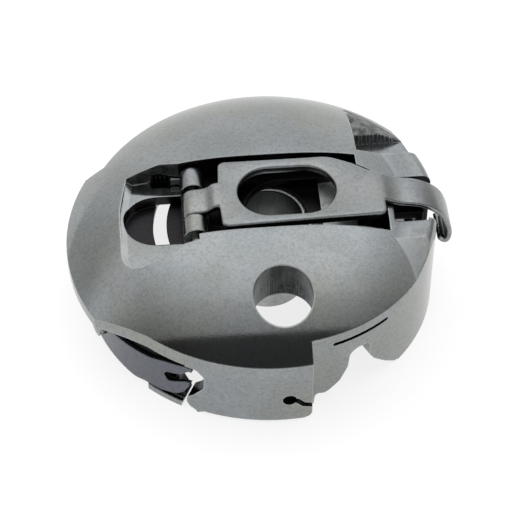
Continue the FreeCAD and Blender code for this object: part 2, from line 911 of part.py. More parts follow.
# --- screws of the tension spring ------------------------------------------------------------------------
def screw(label, angle, shank_radius, head_radius, head_thick):
    """Slotted screw that points at the axis, with its head outside the leaf."""
    body = new_body(label)
    seat = amount("dim.leaf_inner + dim.leaf_thick + 0.02")
    top = seat + amount(head_thick)
    shank = new_sketch(body, f"{label}_shank_view", "XZ_Plane", offset=radial(angle, seat))
    circle(shank, (0, SCREW_LEVEL), shank_radius)
    feature(body, "Pad", f"{label}_shank", shank, 1.75, reverse=True)
    head = new_sketch(body, f"{label}_head_view", "XZ_Plane", offset=radial(angle, seat))
    circle(head, (0, SCREW_LEVEL), head_radius)
    feature(body, "Pad", f"{label}_head", head, head_thick)
    driver = new_sketch(body, f"{label}_slot_view", "XZ_Plane", offset=radial(angle, top))
    box_outline(driver, -1.2, 1.2, SCREW_LEVEL - 0.12, SCREW_LEVEL + 0.12)
    feature(body, "Pocket", f"{label}_slot", driver, 0.2)
    return body


tension_screw = screw("tension_screw", TENSION_ANGLE, "dim.screw_radius", "dim.head_radius", "dim.head_thick")
fixing_screw = screw("fixing_screw", FIXING_ANGLE, "dim.screw_hole", "dim.small_head_radius", 0.3)

# --- check and write -------------------------------------------------------------------------------------
doc.recompute()
for item in doc.Objects:
    if {"Invalid", "Error"} & set(item.State):
        raise RuntimeError(f"{item.Name}: {item.State}")
pieces = [case, tube, brake, slide, pin, lever, coil, leaf, tension_screw, fixing_screw]
for piece in pieces:
    if piece.Shape.isNull() or not piece.Shape.isValid() or len(piece.Shape.Solids) != 1:
        count = len(piece.Shape.Solids)
        raise RuntimeError(f"{piece.Label} has {count} solids, valid {piece.Shape.isValid()}")
os.makedirs("parts", exist_ok=True)
for piece in pieces:
    piece.Shape.exportStep(f"parts/{piece.Label}.step")
    print(f"{piece.Label}: {piece.Shape.Volume:.2f} mm3")
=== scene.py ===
import math

import bmesh
import bpy
from mathutils import Matrix, Vector


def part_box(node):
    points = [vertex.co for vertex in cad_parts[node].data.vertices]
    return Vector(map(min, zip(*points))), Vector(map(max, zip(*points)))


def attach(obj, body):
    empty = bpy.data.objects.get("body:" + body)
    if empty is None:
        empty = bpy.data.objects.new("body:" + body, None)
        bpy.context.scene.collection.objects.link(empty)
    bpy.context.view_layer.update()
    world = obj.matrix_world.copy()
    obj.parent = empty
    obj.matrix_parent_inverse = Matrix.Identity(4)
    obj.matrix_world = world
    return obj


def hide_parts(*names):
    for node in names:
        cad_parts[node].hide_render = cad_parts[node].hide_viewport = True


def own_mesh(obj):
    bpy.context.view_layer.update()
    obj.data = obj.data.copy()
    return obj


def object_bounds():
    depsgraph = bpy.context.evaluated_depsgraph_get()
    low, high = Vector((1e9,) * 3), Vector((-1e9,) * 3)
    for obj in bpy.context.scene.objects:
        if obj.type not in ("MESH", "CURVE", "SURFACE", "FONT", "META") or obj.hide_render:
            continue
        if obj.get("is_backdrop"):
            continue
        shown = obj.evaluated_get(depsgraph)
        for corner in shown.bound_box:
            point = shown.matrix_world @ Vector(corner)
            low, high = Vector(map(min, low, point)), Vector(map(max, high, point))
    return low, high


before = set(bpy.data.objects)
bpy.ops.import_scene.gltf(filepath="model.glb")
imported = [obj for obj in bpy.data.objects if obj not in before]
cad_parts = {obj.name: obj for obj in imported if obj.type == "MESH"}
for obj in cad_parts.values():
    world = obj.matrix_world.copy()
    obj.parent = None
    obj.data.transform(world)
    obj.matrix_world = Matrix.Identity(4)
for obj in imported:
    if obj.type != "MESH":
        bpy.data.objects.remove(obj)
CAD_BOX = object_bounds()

bl_info = {
    "name": "Bobbin Case",
    "version": (1, 0, 0),
    "blender": (4, 5, 0),
    "location": "View3D > Sidebar > Bobbin Case",
    "description": "Dresses the frame of a metal bobbin case with finished pieces and a studio",
    "category": "Object",
}

MM = 0.001
X = Vector((1, 0, 0))
Y = Vector((0, 1, 0))
Z = Vector((0, 0, 1))


# --- sizes and colours that a user would change --------------------------------------------------
def length(name, text, millimetres):
    """A property that is a length, given in millimetres and kept in metres."""
    return bpy.props.FloatProperty(
        name=name, description=text, default=millimetres * MM, min=0, precision=5, unit="LENGTH"
    )


def colour(name, text, rgb):
    """A property that is a colour."""
    return bpy.props.FloatVectorProperty(
        name=name, description=text, default=rgb, min=0, max=1, size=3, subtype="COLOR"
    )


def share(name, text, value):
    """A property that is a share of the full effect."""
    return bpy.props.FloatProperty(
        name=name, description=text, default=value, min=0, max=1, subtype="FACTOR"
    )


class CaseShape(bpy.types.PropertyGroup):
    rib_pitch: length("Rib pitch", "Distance between the cutter ribs on the wall of the groove", 0.34)
    rib_count: bpy.props.IntProperty(
        name="Ribs", description="Number of cutter ribs on the wall of the groove", default=11, min=1
    )


class TubeShape(bpy.types.PropertyGroup):
    bore: length("Bore", "Radius of the bore of the tube", 2.87)
    wall: length("Wall", "Radius of the outside of the tube", 3.3)
    collar_foot: length("Collar foot", "Level of the underside of the collar", 6.55)
    collar_top: length("Collar top", "Level of the top of the collar", 7.14)
    edge: length("Edge rounding", "Width of the rounding on the edges of the tube", 0.16)


class LatchShape(bpy.types.PropertyGroup):
    edge: length("Edge rounding", "Width of the rounding on the edges of the lever", 0.17)
    corner: length("Corner rounding", "Size of the rounding at the corners of the plate", 0.6)
    top: length("Top", "Level of the top of the lever", 11.2)
    sheet: length("Sheet", "Thickness of the sheet that the lever is pressed from", 0.8)
    finger_half: length("Finger", "Half the width of the finger", 1.5)
    neck_half: length("Neck", "Half the width of the rolled neck", 1.36)
    window_radius: length("Window radius", "Radius of the ends of the window in the lever", 2.71)
    window_reach: length("Window reach", "Half the distance between the ends of the window", 1.43)
    window_centre: length("Window centre", "Middle of the window, from the axis of the tube", 1.61)


class Finish(bpy.types.PropertyGroup):
    case_colour: colour("Case", "Colour of the polished steel of the case", (0.335, 0.35, 0.356))
    case_stain: colour("Case stain", "Colour of the dull stains on the case", (0.275, 0.292, 0.278))
    oil_tint: colour("Oil tint", "Yellowish tint of old oil on the case", (0.325, 0.33, 0.265))
    heat_tint: colour("Heat tint", "Bluish tint of the hardened steel of the case", (0.29, 0.325, 0.365))
    case_roughness: share("Case roughness", "Roughness of the polished steel of the case", 0.085)
    bare_colour: colour("Bare steel", "Bright bare steel of the ribs and the slide", (0.6, 0.62, 0.62))
    milled_colour: colour("Milled steel", "Colour of the rough milled recesses", (0.23, 0.24, 0.235))
    # dark steel for the inside of the case, the slide, the coil and the brake spring: partly old oil,
    # partly painted shade where they lie in shadow
    dark_colour: colour("Dark steel", "Colour of the steel inside the case, darkened for oil and for painted shade", (0.035, 0.033, 0.036))
    latch_colour: colour("Latch", "Colour of the steel of the latch", (0.325, 0.335, 0.34))
    leaf_colour: colour("Blued steel", "Colour of the blued tension spring", (0.15, 0.16, 0.185))
    # this width also sets how wide the painted highlight along the edges is, which is partly wear
    edge: length("Edge wear and highlight", "Width of the soft edge of the steel, and of its painted highlight", 0.2)
    stain_size: length("Stain size", "Usual width of a stain on the steel", 5.0)
    grain_size: length("Grain size", "Usual width of the grain of the steel", 0.11)


class Studio(bpy.types.PropertyGroup):
    floor_colour: colour("Floor", "Colour of the floor", (0.4, 0.4, 0.4))
    floor_glow: share("Floor glow", "How much the floor is lifted to white where it is seen", 0.8)
    floor_gloss: share("Floor gloss", "How much the floor is lifted to white where it is mirrored", 0.65)
    world_strength: bpy.props.FloatProperty(
        name="Light", description="Strength of the soft light of the studio", default=1.0, min=0
    )
    aim: bpy.props.FloatVectorProperty(
        name="Aim",
        description="Point that the camera looks at",
        default=(-1.613 * MM, -7.221 * MM, 11.2 * MM),
        size=3,
        precision=5,
        subtype="XYZ_LENGTH",
    )
    lens: bpy.props.FloatProperty(
        name="Lens", description="Focal length of the camera", default=140.5372, min=1, unit="CAMERA"
    )
    distance: length("Camera distance", "Distance of the camera from the point it looks at", 162.418)
    azimuth: bpy.props.FloatProperty(
        name="Camera azimuth",
        description="Angle of the camera about the vertical, from the front",
        default=math.radians(-4.675),
        subtype="ANGLE",
    )
    elevation: bpy.props.FloatProperty(
        name="Camera elevation",
        description="Angle of the camera above the floor",
        default=math.radians(48.194),
        subtype="ANGLE",
    )


class BobbinCase(bpy.types.PropertyGroup):
    case: bpy.props.PointerProperty(type=CaseShape, name="Case", description="Ribs of the case")
    tube: bpy.props.PointerProperty(type=TubeShape, name="Tube", description="Shape of the centre tube")
    latch: bpy.props.PointerProperty(type=LatchShape, name="Latch", description="Shape of the latch")
    finish: bpy.props.PointerProperty(type=Finish, name="Finish", description="Colours of the steels")
    studio: bpy.props.PointerProperty(type=Studio, name="Studio", description="Light and camera")


# --- finishes ------------------------------------------------------------------------------------
# For each mark: where on its noise it starts and where it is full, and its least and most strength.
STAINS = (0.35, 0.65, 0.0, 0.9)
OIL = (0.5, 0.66, 0.0, 0.45)
HEAT = (0.48, 0.34, 0.0, 0.4)
SPECKS = (0.42, 0.7, 0.0, 0.65)
GRAIN = (0.45, 0.75, 0.0, 0.5)
SPECK_SHADE = 0.7  # colour of the dark specks, as a share of the steel's own
GRAIN_SHINE = 1.35  # colour of the bright grain, in the same way
EDGE_WEAR_AND_HIGHLIGHT = 1.9  # colour of a bright edge, partly wear and partly a painted highlight, in the same way
EDGE_TURNS = (0.985, 0.86)  # cosines of the turn at which an edge starts to be painted bright, and is fully bright
CORNER_DARKENING = (0.05, 0.55)  # openness at which a corner is fully darkened by painted shade and oily dirt, and at which it is not darkened
GLOSS = (0.3, 0.7)  # parts of the stains that are the smoothest and the roughest
CORNER_DARKENING_REACH = 0.8  # how far from a corner the painted shade and oily dirt reach, in millimetres
SOFT_SAMPLES = 6  # rays for the bright edges of wear and painted highlight, and for the painted shade and dirt in corners


def link(tree, source, target):
    """Joins an output to an input."""
    tree.links.new(source, target)


def worked(tree, operation, *values):
    """Result of one step of arithmetic on values that are each a socket or a plain number."""
    node = tree.nodes.new("ShaderNodeMath")
    node.operation = operation
    for socket, value in zip(node.inputs, values):
        if isinstance(value, bpy.types.NodeSocket):
            link(tree, value, socket)
        else:
            socket.default_value = value
    return node.outputs["Value"]


def scaled(rgb, amount):
    """A colour made darker or brighter, no brighter than white."""
    return [min(1.0, part * amount) for part in rgb]


def noise(tree, place, size, detail, stretch=None):
    """Noise whose features are about one size across, in metres, stretched along an axis if asked."""
    node = tree.nodes.new("ShaderNodeTexNoise")
    node.inputs["Scale"].default_value = 1 / size
    node.inputs["Detail"].default_value = detail
    if stretch is None:
        link(tree, place, node.inputs["Vector"])
    else:
        mapping = tree.nodes.new("ShaderNodeMapping")
        mapping.inputs["Scale"].default_value = stretch
        link(tree, place, mapping.inputs["Vector"])
        link(tree, mapping.outputs["Vector"], node.inputs["Vector"])
    return node.outputs["Fac"]


def ramp(tree, source, low, high, start, stop):
    """Maps a value smoothly from one range to another."""
    node = tree.nodes.new("ShaderNodeMapRange")
    node.interpolation_type = "SMOOTHSTEP"
    link(tree, source, node.inputs["Value"])
    for name, value in (("From Min", low), ("From Max", high), ("To Min", start), ("To Max", stop)):
        node.inputs[name].default_value = value
    return node.outputs["Result"]


def mixed(tree, factor, first, second):
    """Mix of two colours, each a socket or a plain colour."""
    node = tree.nodes.new("ShaderNodeMix")
    node.data_type = "RGBA"
    link(tree, factor, node.inputs["Factor"])
    for socket, value in ((node.inputs[6], first), (node.inputs[7], second)):
        if isinstance(value, bpy.types.NodeSocket):
            link(tree, value, socket)
        else:
            socket.default_value = (*value, 1)
    return node.outputs[2]


def tones(tree, place, stains, grain, base, stain, tinted):
    """Colour of the steel: stains, patches of old oil and of heat, dark specks and bright grain."""
    finish = bpy.context.scene.bobbin_case.finish
    tone = mixed(tree, ramp(tree, stains, *STAINS), base, stain)
    if tinted:
        tint = noise(tree, place, finish.stain_size * 1.6, 3.0)
        tone = mixed(tree, ramp(tree, tint, *OIL), tone, finish.oil_tint)
        tone = mixed(tree, ramp(tree, tint, *HEAT), tone, finish.heat_tint)
    specks = noise(tree, place, finish.grain_size * 3, 4.0)
    tone = mixed(tree, ramp(tree, specks, *SPECKS), tone, scaled(base, SPECK_SHADE))
    return mixed(tree, ramp(tree, grain, *GRAIN), tone, scaled(base, GRAIN_SHINE))


def bright_edge_mask(tree, rounded, wear_and_highlight):
    """How far an edge is painted bright, partly as wear and partly as a painted highlight, from how much a
    softened edge turns away from the real face.
    """
    facing = tree.nodes.new("ShaderNodeVectorMath")
    facing.operation = "DOT_PRODUCT"
    link(tree, rounded, facing.inputs[0])
    link(tree, tree.nodes.new("ShaderNodeNewGeometry").outputs["True Normal"], facing.inputs[1])
    return ramp(tree, facing.outputs["Value"], *EDGE_TURNS, 0.0, wear_and_highlight)


def steel(
    name,
    base,
    stain,
    roughness,
    bump=0.01,
    wear_and_highlight=0.35,
    dirt_and_shade=0.8,
    stretch=None,
    stain_size=None,
    tinted=True,
):
    """Bare steel with stains, fine grain, scratches, edges painted bright, partly as wear and partly as a
    painted highlight, and corners darkened by painted shade and oily dirt.

    The bump and the stain size are in millimetres, and the amounts for the bright edges and for the dark
    corners are shares of the full effect.
    """
    finish = bpy.context.scene.bobbin_case.finish
    material = bpy.data.materials.new(name)
    material.use_nodes = True
    tree = material.node_tree
    shader = tree.nodes["Principled BSDF"]
    shader.inputs["Metallic"].default_value = 1.0
    place = tree.nodes.new("ShaderNodeTexCoord").outputs["Object"]
    stains = noise(tree, place, stain_size * MM if stain_size else finish.stain_size, 7.0)
    grain = noise(tree, place, finish.grain_size, 3.0, stretch)
    scratches = noise(tree, place, finish.grain_size, 2.0, (1.0, 0.04, 1.0))
    rounded = tree.nodes.new("ShaderNodeBevel")
    rounded.samples = SOFT_SAMPLES
    rounded.inputs["Radius"].default_value = finish.edge

    tone = tones(tree, place, stains, grain, base, stain, tinted)
    # painted highlight, partly wear: the edges are made brighter
    edge = bright_edge_mask(tree, rounded.outputs["Normal"], wear_and_highlight)
    tone = mixed(tree, edge, tone, scaled(base, EDGE_WEAR_AND_HIGHLIGHT))
    # painted shade, partly oily dirt: ambient occlusion darkens the corners
    corner = tree.nodes.new("ShaderNodeAmbientOcclusion")
    corner.samples = SOFT_SAMPLES
    corner.inputs["Distance"].default_value = CORNER_DARKENING_REACH * MM
    undarkened = ramp(tree, corner.outputs["AO"], *CORNER_DARKENING, 1.0 - dirt_and_shade, 1.0)
    shade = tree.nodes.new("ShaderNodeVectorMath")
    shade.operation = "SCALE"
    link(tree, tone, shade.inputs[0])
    link(tree, undarkened, shade.inputs["Scale"])
    link(tree, shade.outputs["Vector"], shader.inputs["Base Color"])

    rough = ramp(tree, stains, *GLOSS, roughness - 0.02, roughness + 0.05)
    link(tree, rough, shader.inputs["Roughness"])
    bumps = tree.nodes.new("ShaderNodeBump")
    bumps.inputs["Strength"].default_value = 0.3
    bumps.inputs["Distance"].default_value = bump * MM
    link(tree, worked(tree, "ADD", grain, scratches), bumps.inputs["Height"])
    link(tree, rounded.outputs["Normal"], bumps.inputs["Normal"])
    link(tree, bumps.outputs["Normal"], shader.inputs["Normal"])


def finishes():
    """The finishes by name, made once."""
    if "case steel" not in bpy.data.materials:
        look = bpy.context.scene.bobbin_case.finish
        case, stain, milled, dark = look.case_colour, look.case_stain, look.milled_colour, look.dark_colour
        bare, latch, leaf = look.bare_colour, look.latch_colour, look.leaf_colour
        # the edge amount of each finish paints its edges bright, partly as wear and partly as a painted
        # highlight, and the corner amount darkens its corners with painted shade and oily dirt
        steel("case steel", case, stain, look.case_roughness, bump=0.005, wear_and_highlight=0.7, dirt_and_shade=0.35)
        steel("milled steel", milled, dark, roughness=0.38, bump=0.06, stain_size=0.7, tinted=False)
        steel("cut steel", case, milled, roughness=0.25, bump=0.03, dirt_and_shade=0.5, stain_size=1.0)
        steel("bare steel", bare, case, roughness=0.5, bump=0.02, dirt_and_shade=0.3, stain_size=0.5, tinted=False)
        steel("tube steel", bare, stain, roughness=0.25, wear_and_highlight=0.9, dirt_and_shade=0.3, tinted=False)
        steel("drilled steel", milled, dark, roughness=0.3, bump=0.03, stretch=(1, 1, 0.06), tinted=False)
        steel("oiled and shaded steel", dark, dark, roughness=0.35, bump=0.02, wear_and_highlight=0.12, tinted=False)
        steel("latch steel", latch, stain, roughness=0.22, bump=0.008, wear_and_highlight=0.8)
        steel("blued steel", leaf, leaf, roughness=0.28, wear_and_highlight=0.5, tinted=False)
    return bpy.data.materials


# --- making pieces -------------------------------------------------------------------------------
WELD = 0.002  # corners nearer than this are one corner, in millimetres
SLIVER = 0.001  # edges shorter than this and the seam of a spun shape are closed, in millimetres
FLAT = math.radians(0.15)  # faces that turn less than this are one flat
SHARP = 35.0  # an edge that turns more than this, in degrees, stays sharp until it is rounded


def piece(name, mesh, body, slot, *materials, stands_for=None, sharp=SHARP, facing=None):
    """A finished piece: smooth but for its sharp edges, on its body, with its finishes.

    Where facing is given, it names the way that the true surface faces at a corner of a face, or None.
    """
    mesh.normal_update()
    data = bpy.data.meshes.new(name)
    mesh.to_mesh(data)
    mesh.free()
    data.shade_smooth()
    data.set_sharp_from_angle(angle=math.radians(sharp))
    item = bpy.data.objects.new(name, data)
    bpy.context.scene.collection.objects.link(item)
    for material in materials:
        data.materials.append(finishes()[material])
    if facing:
        corners = [(face, data.vertices[index].co) for face in data.polygons for index in face.vertices]
        data.normals_split_custom_set([facing(face, corner) or (0, 0, 0) for face, corner in corners])
    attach(item, body)
    if stands_for:
        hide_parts(stands_for)
    return item


def merged_copy(node):
    """A CAD node's triangles joined up, with its flat areas made into single faces."""
    mesh = bmesh.new()
    mesh.from_mesh(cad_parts[node].data)
    bmesh.ops.remove_doubles(mesh, verts=mesh.verts, dist=WELD * MM)
    bmesh.ops.dissolve_degenerate(mesh, edges=mesh.edges, dist=SLIVER * MM)
    bmesh.ops.dissolve_limit(
        mesh, angle_limit=FLAT, verts=mesh.verts, edges=mesh.edges, use_dissolve_boundaries=False
    )
    return mesh


def lies_at(face, level):
    """Whether a face is level and points up, at a level in millimetres."""
    return face.normal.z > 0.99 and abs(face.calc_center_median().z / MM - level) < 0.02


def cut_floor(mesh, level, crossways, lengthways):
    """Cuts the floor at a level, at places along X and Y, so that each part can have its own finish."""
    mesh.normal_update()
    for place, way in [(place, X) for place in crossways] + [(place, Y) for place in lengthways]:
        floor = [face for face in mesh.faces if lies_at(face, level)]
        edges = dict.fromkeys(edge for face in floor for edge in face.edges)
        verts = dict.fromkeys(vert for face in floor for vert in face.verts)
        geom = [*verts, *edges, *floor]
        bmesh.ops.bisect_plane(mesh, geom=geom, plane_co=way * place * MM, plane_no=way)


def spun(profile, centre, axis, steps):
    """A turned solid from the half section given as points, which goes once round its axis."""
    mesh = bmesh.new()
    verts = [mesh.verts.new(corner) for corner in profile]
    edges = [mesh.edges.new(ends) for ends in zip(verts, verts[1:] + verts[:1])]
    bmesh.ops.spin(
        mesh, geom=verts + edges, cent=centre, axis=axis, angle=math.tau, steps=steps, use_merge=True
    )
    bmesh.ops.remove_doubles(mesh, verts=mesh.verts, dist=SLIVER * MM)
    bmesh.ops.recalc_face_normals(mesh, faces=mesh.faces)
    return mesh


def round_edges(mesh, width, segments):
    """Bevels the sharp edges of a mesh."""
    sharp = math.radians(SHARP)
    edges = [edge for edge in mesh.edges if edge.is_manifold and edge.calc_face_angle() > sharp]
    bmesh.ops.bevel(
        mesh, geom=edges, offset=width, segments=segments, profile=0.5, affect="EDGES", material=-1
    )


# --- the surfaces of the case, with sizes and places in millimetres ------------------------------
DOME_RADIUS = 18.5
DOME_CENTRE = Vector((4.0, -7.2))  # centre of the dome's arc: its distance from the axis, and its level
ON_DOME = 0.03  # how near the arc a corner of the dome lies
DOME_AGREES = 0.87  # cosine of how far a face of the dome turns from the true surface, at most
LEAST_WALL = 12  # the turned walls are further from the axis than this
WALL_AGREES = 0.985  # the same cosine for a turned wall
UPRIGHT = 0.02  # how far the normal of such a wall rises, at most
SLOPE = math.radians(25)
LEDGE_SLOPE = Vector((0, -math.sin(SLOPE), math.cos(SLOPE)))  # the slope from the ledge up to the dome
LARGE = 2  # a face larger than this, in square millimetres, is a flat
POCKET_FLOOR = 8.3
FLOOR_CUTS = (-6.2, 3.4)  # where on that floor the latch channel starts, and its bare end
END_LEAN = 3.4  # how far the pocket's end wall is shaded as leaning back, to look like a soft ramp
HOLE_CENTRE = Vector((0.38, -10.54))  # the locating hole
HOLE_REACH = 2.46  # how far from that centre its wall reaches
CASE_FINISHES = ("case steel", "milled steel", "cut steel", "bare steel", "drilled steel", "oiled and shaded steel")


def dome_level(reach):
    """Level of the dome at a distance from the axis."""
    across = reach - DOME_CENTRE.x * MM
    return DOME_CENTRE.y * MM + math.sqrt((DOME_RADIUS * MM) ** 2 - across**2)


def ends_pocket(spot, normal):
    """Whether a face of the case is on the soft end wall of the pocket."""
    inside = -13.2 < spot.x < -8.5 and abs(spot.y) < 5.6 and spot.z > POCKET_FLOOR
    return inside and normal.x > 0.2 and normal.z < 0.9


def case_facing(face, corner):
    """Which way the turned dome, a round wall or a flat of the case faces at a corner of a face."""
    radial = Vector((corner.x, corner.y, 0)).normalized()
    outward = radial.dot(face.normal)
    reach = corner.xy.length
    arm = Vector((reach, corner.z)) / MM - DOME_CENTRE
    if abs(arm.length - DOME_RADIUS) < ON_DOME:
        arm.normalize()
        turned = radial * arm.x + Z * arm.y
        if turned.dot(face.normal) > DOME_AGREES:
            return turned
    if abs(face.normal.z) < UPRIGHT and abs(outward) > WALL_AGREES and reach > LEAST_WALL * MM:
        return radial if outward > 0 else -radial
    if ends_pocket(face.center / MM, face.normal):
        return (face.normal + END_LEAN * Z).normalized()
    if face.normal.dot(LEDGE_SLOPE) > 0.999:
        lean = (reach / MM - DOME_CENTRE.x) / DOME_RADIUS
        return (LEDGE_SLOPE + radial * lean + Z * math.sqrt(1 - lean**2)).normalized()
    square = max(abs(amount) for amount in face.normal) > 0.9995
    if square or face.area > LARGE * MM * MM:
        return face.normal
    return None


def case_finish(face):
    """Which finish a face of the case has, from where it lies, in millimetres, and how it points."""
    spot = face.calc_center_median() / MM
    x, y, z = spot
    reach = spot.xy.length
    bearing = math.degrees(math.atan2(y, x))
    upright = abs(face.normal.z) < 0.3
    if (spot.xy - HOLE_CENTRE).length < HOLE_REACH and upright:
        return "drilled steel"
    groove = x > 8.03 and y > 4.88 and 7.45 < z and reach < 15.75 and (z < 8.67 or x < 8.07 or y < 4.92)
    ledge = x > 10.4 and -7.2 < y < -3.0 and 9.75 < z < 9.85 and not upright
    cup = reach < 14.21 and z < 7.36 and not face.normal.z > 0.5
    if ledge or ends_pocket(spot, face.normal) or (groove and (z < 7.52 or face.normal.y < -0.6)):
        return "cut steel"
    if groove:
        return "milled steel"
    channel = abs(y) < 4.72 and -6.21 < x < 9.92 and (7.4 < z < 9.2 or (upright and z > 7.4))
    pit = abs(y) < 2.8 and -13.0 < x < -5.0 and 6.8 < z < (8.28 if upright else 7.58)
    spring_nest = -9.75 < x < -6.0 and 3.88 < y < 6.2 and (upright or z < 7.5) and z > 7.3
    far_wall = x < -6.5 and 3.5 < y < 6.3 and face.normal.y < -0.4 and z > 7.5
    finger_way = 9.68 < x < 15.0 and -3.12 < y < 2.02 and upright and z > 2.7
    leaf_seat = 14.0 < reach < 15.45 and -172 < bearing < -112 and 0.7 < z < 5.75
    thread_way = -92 < bearing < -80 and 14.25 < reach < 15.7 and 1.5 < z < 3.6
    crescent = -76 < bearing < -48 and 13.1 < reach < 14.25 and 6.8 < z < 7.4
    if channel and FLOOR_CUTS[1] < x < 5.5 and face.normal.z > 0.9:
        return "bare steel"
    if far_wall and not channel:
        return "milled steel"
    # these recesses get the dark steel, which stands partly for old oil and partly for painted shade
    if channel or pit or spring_nest or finger_way or leaf_seat or thread_way or crescent:
        return "oiled and shaded steel"
    return "cut steel" if cup else "case steel"


# --- operators -----------------------------------------------------------------------------------
class BOBBINCASE_OT_shell(bpy.types.Operator):
    """Dress the domed case in its polished, milled and drilled steel, and in dark steel that is partly old
    oil and partly painted shade
    """

    bl_idname = "bobbincase.shell"
    bl_label = "Case Shell"

    def execute(self, context):
        mesh = merged_copy("case_body")
        cut_floor(mesh, POCKET_FLOOR, FLOOR_CUTS, ())
        mesh.normal_update()
        for face in mesh.faces:
            face.material_index = CASE_FINISHES.index(case_finish(face))
        piece(
            "case_shell",
            mesh,
            "case",
            "case_metal",
            *CASE_FINISHES,
            stands_for="case_body",
            facing=case_facing,
        )
        return {"FINISHED"}


RIB_START = 8.35  # place along X of the first rib, in millimetres as all the sizes of the ribs are
RIB_WALL = 8.53
GROOVE_FLOOR = 7.4
GROOVE_RIM = 8.62
RIB_DROP = 0.03  # how far the ribs end below the rim of the groove or the dome
RIB_FOOT = 0.13  # radius of a rib at the floor, and next at its tip
RIB_TIP = 0.08
RIB_WANDER = 0.05  # how far a rib stands from its even place, and its swing from rib to rib
WANDER_SWING = 2.3
RIB_UNEVEN = 0.02  # how far its tip departs from the usual one, and that swing
UNEVEN_SWING = 1.7


class BOBBINCASE_OT_ribs(bpy.types.Operator):
    """Cut the row of ribs on the wall of the groove"""

    bl_idname = "bobbincase.ribs"
    bl_label = "Groove Ribs"

    def execute(self, context):
        shape = context.scene.bobbin_case.case
        mesh = bmesh.new()
        for number in range(shape.rib_count):
            place = RIB_START + RIB_WANDER * math.sin(WANDER_SWING * number)
            foot = Vector((place, RIB_WALL, GROOVE_FLOOR)) * MM
            foot.x += number * shape.rib_pitch
            top = min(GROOVE_RIM * MM, dome_level(foot.xy.length)) - RIB_DROP * MM
            bmesh.ops.create_cone(
                mesh,
                cap_ends=True,
                segments=12,
                radius1=RIB_FOOT * MM,
                radius2=(RIB_TIP + RIB_UNEVEN * math.sin(UNEVEN_SWING * number)) * MM,
                depth=top - foot.z,
                matrix=Matrix.Translation(foot + Z * (top - foot.z) / 2),
            )
        piece("groove_ribs", mesh, "case", "case_metal", "bare steel", sharp=60.0)
        return {"FINISHED"}


BORE_SKIN = 0.01  # faces of the tube that lie nearer its bore than this are its drilled wall


class BOBBINCASE_OT_tube(bpy.types.Operator):
    """Turn the centre tube with its collar"""

    bl_idname = "bobbincase.tube"
    bl_label = "Centre Tube"

    def execute(self, context):
        shape = context.scene.bobbin_case.tube
        low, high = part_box("centre_tube")
        profile = [
            (shape.bore, 0, low.z),
            (shape.wall, 0, low.z),
            (shape.wall, 0, shape.collar_foot),
            (high.x, 0, shape.collar_foot),
            (high.x, 0, shape.collar_top),
            (shape.wall, 0, shape.collar_top),
            (shape.wall, 0, high.z),
            (shape.bore, 0, high.z),
        ]
        mesh = spun(profile, centre=(0, 0, 0), axis=Z, steps=96)
        round_edges(mesh, shape.edge, segments=4)
        for face in mesh.faces:
            if face.calc_center_median().xy.length < shape.bore + BORE_SKIN * MM:
                face.material_index = 1
        steels = ("tube steel", "drilled steel")
        piece("bobbin_tube", mesh, "case", "case_metal", *steels, stands_for="centre_tube")
        return {"FINISHED"}


# The lever, in millimetres. First the corners of its flat sheet, on the two sides of the finger.
LEVER_NEAR_PLAN = ((-4.1, -1.36), (-4.0, -3.73), (9.75, -3.2), (9.75, -1.5))
LEVER_FAR_PLAN = ((9.75, 1.5), (8.6, 1.9), (7.4, 2.75), (5.4, 3.73), (-4.0, 3.73), (-4.1, 1.36))
# Then the control points, in side view, of the top of the finger and of the rolled eye.
FINGER_LINE = (
    (8.9, 11.2), (9.6, 11.18), (10.4, 10.7), (11.3, 10.36), (12.3, 10.25), (13.6, 9.75), (14.9, 8.7),
    (15.5, 7.3), (15.8, 6.0), (15.5, 4.95), (14.8, 5.05), (14.45, 5.6),
)
EYE_LINE = (
    (-4.1, 11.2), (-4.6, 11.2), (-5.2, 10.55), (-6.64, 10.51), (-7.26, 9.89), (-7.26, 9.01), (-6.64, 8.39),
    (-5.76, 8.39), (-5.14, 9.01), (-5.14, 9.7),
)
PLATE_HALF = 3  # the corners of the plate lie further to the side than this
FINGER_STEP = 0.16  # distances between the rows of corners that let the finger and the eye bend
EYE_STEP = 0.12
ROWS = 80  # more than either needs
FINGER_THIN = 0.55  # thickness of the finger and of the eye, as a share of the sheet's
EYE_THIN = 0.68
THINNING = 1.2  # over how long the sheet grows thinner


def smooth_line(points):
    """A smooth line in the XZ plane that follows its control points, as points from its start."""
    data = bpy.data.curves.new("line", "CURVE")
    spline = data.splines.new("NURBS")
    spline.points.add(len(points) - 1)
    for point, (x, z) in zip(spline.points, points):
        point.co = (x * MM, 0, z * MM, 1)
    spline.order_u = 3
    spline.use_endpoint_u = True
    holder = bpy.data.objects.new("line", data)
    mesh = bpy.data.meshes.new_from_object(holder)
    line = [vertex.co.copy() for vertex in mesh.vertices]
    bpy.data.objects.remove(holder)
    bpy.data.curves.remove(data)
    bpy.data.meshes.remove(mesh)
    return line


def run(line):
    """Length of a line."""
    return sum((after - before).length for before, after in zip(line, line[1:]))


def bend(mesh, line, way, thin):
    """Bends the part of a flat sheet beyond a line's start along that line, and thins it there."""
    start, top = line[0].x, line[0].z
    for vert in mesh.verts:
        left = (vert.co.x - start) * way
        if left <= 0:
            continue
        depth = top - vert.co.z
        depth *= 1 + (thin - 1) * min(1.0, left / (THINNING * MM))
        for first, second in zip(line, line[1:]):
            step = (second - first).length
            if left <= step or second is line[-1]:
                break
            left -= step
        along = (second - first).normalized()
        outward = Vector((-along.z, 0, along.x)) * way
        spot = first + along * left - outward * depth
        vert.co = Vector((spot.x, vert.co.y, spot.z))


